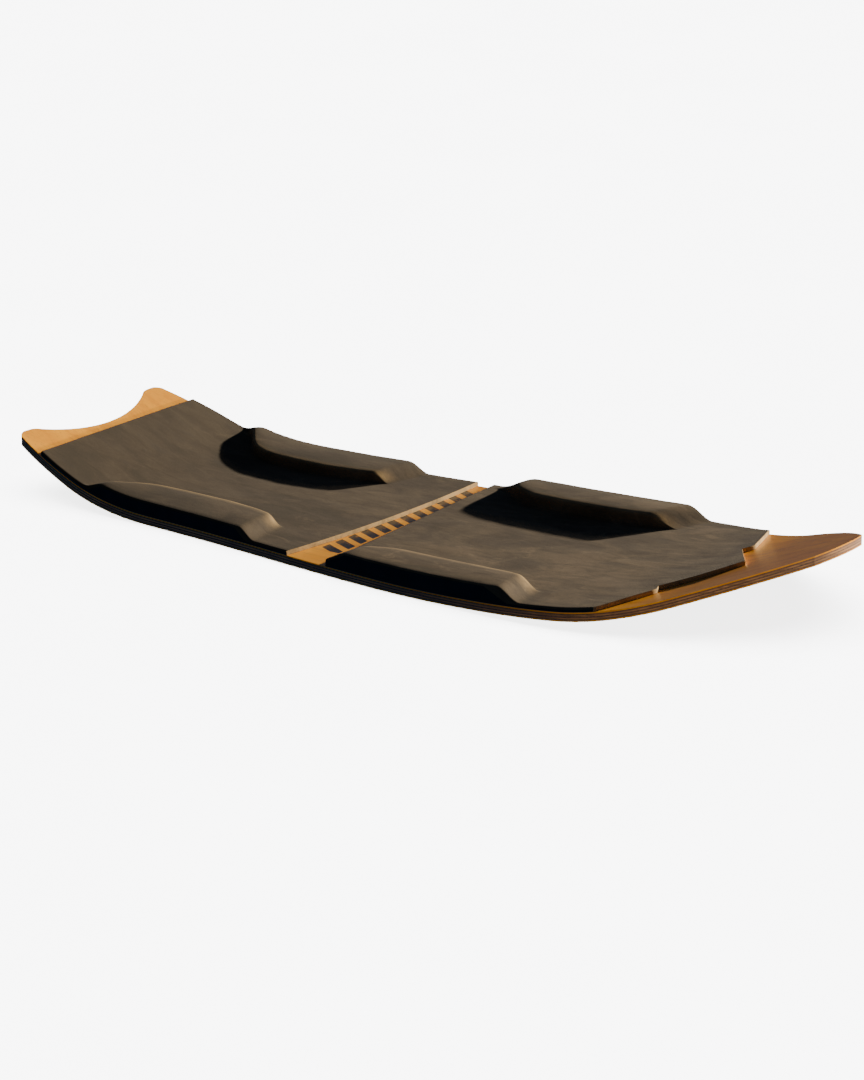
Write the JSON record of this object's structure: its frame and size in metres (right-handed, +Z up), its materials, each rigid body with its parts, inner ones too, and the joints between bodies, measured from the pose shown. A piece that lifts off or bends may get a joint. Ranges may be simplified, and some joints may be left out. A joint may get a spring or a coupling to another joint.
{
  "type": "wakeboard",
  "caption": "Binding-free wooden wakeboard with swallow tail, pointed nose, rocker at both ends, foam traction pads with raised rail bumpers and twin fins.",
  "frame": {"origin": "middle of the bounding box at its bottom, on the flat underside", "axes": "+X towards the nose, +Y to the rider's left, +Z up from the deck"},
  "size_m": [1.1803, 0.42, 0.1072],
  "materials": {
    "varnished_face_veneer": "golden varnished veneer, gloss",
    "cross_ply": "end grain of a crosswise ply, varnished",
    "long_ply": "edge of a lengthwise ply, varnished",
    "adhesive_film": "clear double-sided film",
    "dark_foam": "closed-cell EVA foam, cut edge, blue-black",
    "brushed_foam_skin": "brushed EVA foam skin, grey-brown",
    "fin_plastic": "moulded nylon, satin",
    "insert_brass": "machined brass",
    "stainless_steel": "brushed stainless steel"
  },
  "bodies": {
    "root": {"top_face_veneer": "varnished_face_veneer", "bottom_face_veneer": "varnished_face_veneer", "upper_cross_ply": "cross_ply", "core_ply": "cross_ply", "lower_cross_ply": "cross_ply", "upper_long_ply": "long_ply", "lower_long_ply": "long_ply", "tail_pad_adhesive": "adhesive_film", "tail_pad_base_foam": "dark_foam", "tail_pad_left_riser": "dark_foam", "tail_pad_right_riser": "dark_foam", "tail_pad_skin": "brushed_foam_skin", "nose_pad_adhesive": "adhesive_film", "nose_pad_base_foam": "dark_foam", "nose_pad_left_riser": "dark_foam", "nose_pad_right_riser": "dark_foam", "nose_pad_skin": "brushed_foam_skin", "left_fin": "fin_plastic", "right_fin": "fin_plastic", "fin_inserts": "insert_brass", "fin_washers": "stainless_steel", "fin_screws": "stainless_steel"}
  },
  "joints": []
}
